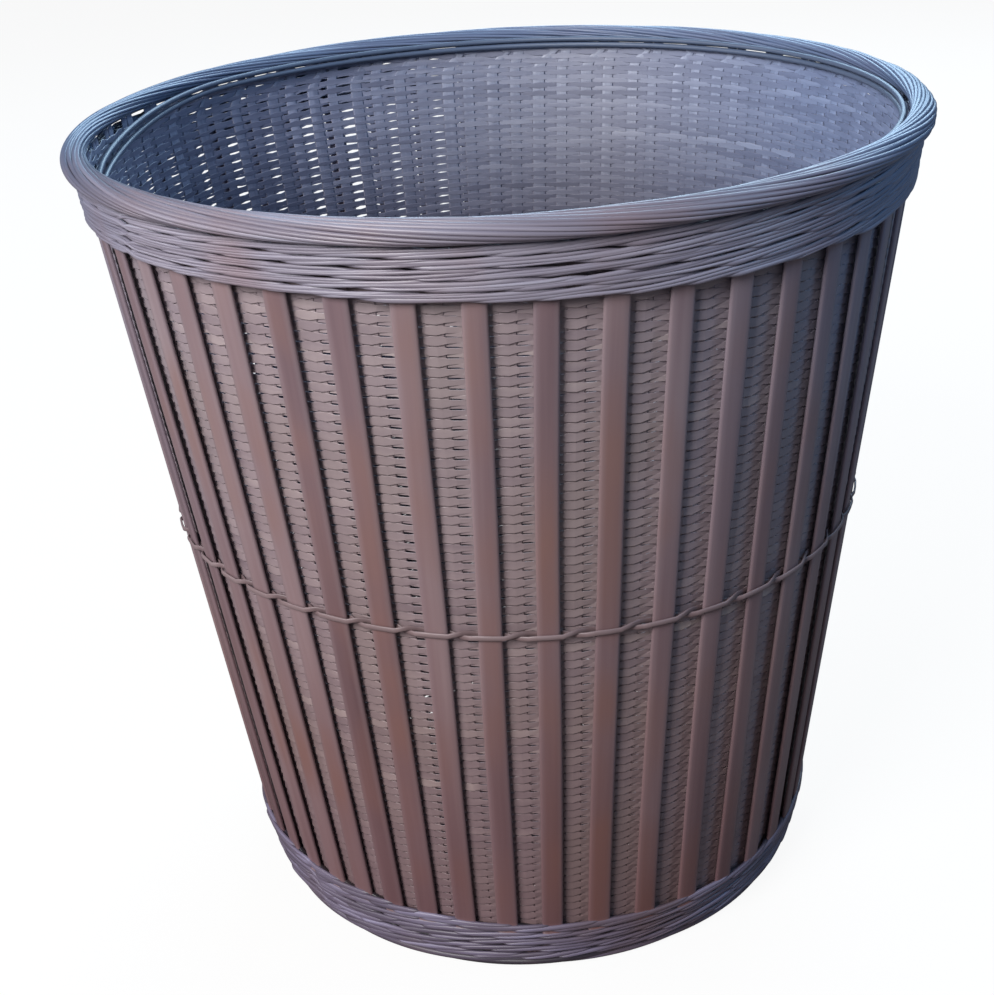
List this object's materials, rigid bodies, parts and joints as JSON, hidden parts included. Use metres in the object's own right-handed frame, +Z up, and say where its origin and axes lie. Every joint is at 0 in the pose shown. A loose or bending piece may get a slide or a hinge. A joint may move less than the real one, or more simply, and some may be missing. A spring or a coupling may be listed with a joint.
{
  "type": "wastebasket",
  "caption": "Tapered round woven basket, open at the top, with flat upright slats outside the weave, waled bands at both ends and a rope-laid rim.",
  "frame": {"origin": "middle of the foot, on the floor that the basket stands on", "axes": "+Z up along the basket's axis, -Y towards the side the picture shows, +X to the picture's right"},
  "size_m": [0.3108, 0.3108, 0.305],
  "materials": {
    "weave": "matt split cane",
    "slat": "satin rattan splint",
    "cane": "satin rattan skin",
    "foot_cane": "satin rattan skin"
  },
  "bodies": {
    "root": {"woven_wall": "weave", "woven_base": "weave", "twine_strand_a": "slat", "twine_strand_b": "slat", "upper_waled_band": "cane", "lower_waled_band": "foot_cane", "inner_hoop_upper": "cane", "inner_hoop_lower": "cane", "rolled_foot": "foot_cane", "rim_core": "cane", "slat_01": "slat", "slat_02": "slat", "slat_03": "slat", "slat_04": "slat", "slat_05": "slat", "slat_06": "slat", "slat_07": "slat", "slat_08": "slat", "slat_09": "slat", "slat_10": "slat", "slat_11": "slat", "slat_12": "slat", "slat_13": "slat", "slat_14": "slat", "slat_15": "slat", "slat_16": "slat", "slat_17": "slat", "slat_18": "slat", "slat_19": "slat", "slat_20": "slat", "slat_21": "slat", "slat_22": "slat", "slat_23": "slat", "slat_24": "slat", "slat_25": "slat", "slat_26": "slat", "slat_27": "slat", "slat_28": "slat", "slat_29": "slat", "slat_30": "slat", "slat_31": "slat", "slat_32": "slat", "slat_33": "slat", "slat_34": "slat", "slat_35": "slat", "slat_36": "slat", "slat_37": "slat", "slat_38": "slat", "slat_39": "slat", "slat_40": "slat", "slat_41": "slat", "slat_42": "slat", "slat_43": "slat", "slat_44": "slat", "slat_45": "slat", "slat_46": "slat", "rim_ply_1": "cane", "rim_ply_2": "cane", "rim_ply_3": "cane", "rim_ply_4": "cane"}
  },
  "joints": []
}
